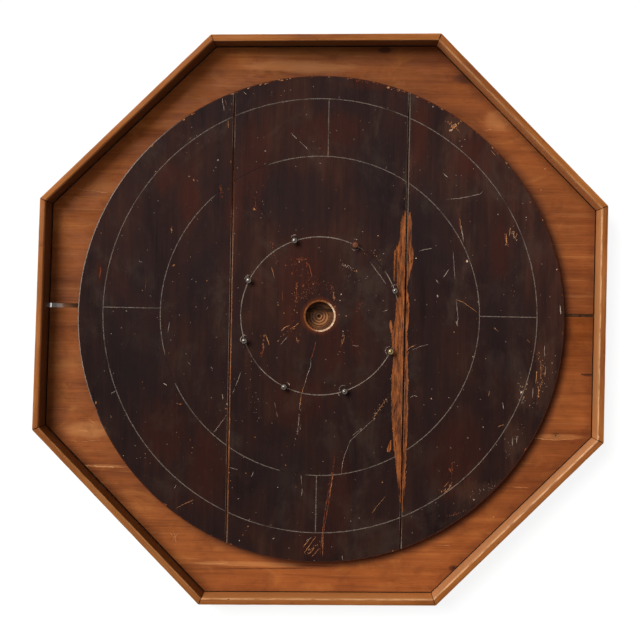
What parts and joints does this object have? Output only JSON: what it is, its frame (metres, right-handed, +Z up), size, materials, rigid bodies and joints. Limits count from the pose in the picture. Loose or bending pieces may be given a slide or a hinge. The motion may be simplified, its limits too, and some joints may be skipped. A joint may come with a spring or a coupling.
{
  "type": "crokinole board",
  "caption": "Octagonal wooden crokinole board with a raised round three-plank playing disc, a ring of posts, a centre hole and a ditch inside mitred rails.",
  "frame": {"origin": "middle of the board's underside, in the plane that rests on the table", "axes": "+Z up out of the playing surface, +Y to the back of the board, along the disc planks' grain, and +X to the right"},
  "size_m": [0.7262, 0.7312, 0.0635],
  "materials": {
    "rail_wood": "worn satin varnish",
    "base_wood": "aged satin varnish",
    "disc_wood": "dark worn stain and varnish",
    "post_steel": "dulled and partly rusted",
    "fastener_iron": "oxidised"
  },
  "bodies": {
    "root": {"rail_right": "rail_wood", "rail_back_right": "rail_wood", "rail_back": "rail_wood", "rail_back_left": "rail_wood", "rail_left": "rail_wood", "rail_front_left": "rail_wood", "rail_front": "rail_wood", "rail_front_right": "rail_wood", "base_board_back": "base_wood", "base_board_front": "base_wood", "disc_plank_left": "disc_wood", "disc_plank_centre": "disc_wood", "disc_plank_right": "disc_wood", "post_1": "post_steel", "post_2": "post_steel", "post_3": "post_steel", "post_4": "post_steel", "post_5": "post_steel", "post_6": "post_steel", "post_7": "post_steel", "post_8": "post_steel", "nail_right_1": "fastener_iron", "nail_right_2": "fastener_iron", "nail_right_3": "fastener_iron", "nail_back_right_1": "fastener_iron", "nail_back_right_2": "fastener_iron", "nail_back_right_3": "fastener_iron", "nail_back_1": "fastener_iron", "nail_back_2": "fastener_iron", "nail_back_3": "fastener_iron", "nail_back_left_1": "fastener_iron", "nail_back_left_2": "fastener_iron", "nail_back_left_3": "fastener_iron", "nail_left_1": "fastener_iron", "nail_left_2": "fastener_iron", "nail_left_3": "fastener_iron", "nail_front_left_1": "fastener_iron", "nail_front_left_2": "fastener_iron", "nail_front_left_3": "fastener_iron", "nail_front_1": "fastener_iron", "nail_front_2": "fastener_iron", "nail_front_3": "fastener_iron", "nail_front_right_1": "fastener_iron", "nail_front_right_2": "fastener_iron", "nail_front_right_3": "fastener_iron", "screw_1": "fastener_iron", "screw_2": "fastener_iron", "screw_3": "fastener_iron", "screw_4": "fastener_iron", "screw_5": "fastener_iron", "screw_6": "fastener_iron", "screw_7": "fastener_iron", "screw_8": "fastener_iron", "screw_9": "fastener_iron", "screw_10": "fastener_iron", "screw_11": "fastener_iron", "screw_12": "fastener_iron"}
  },
  "joints": []
}
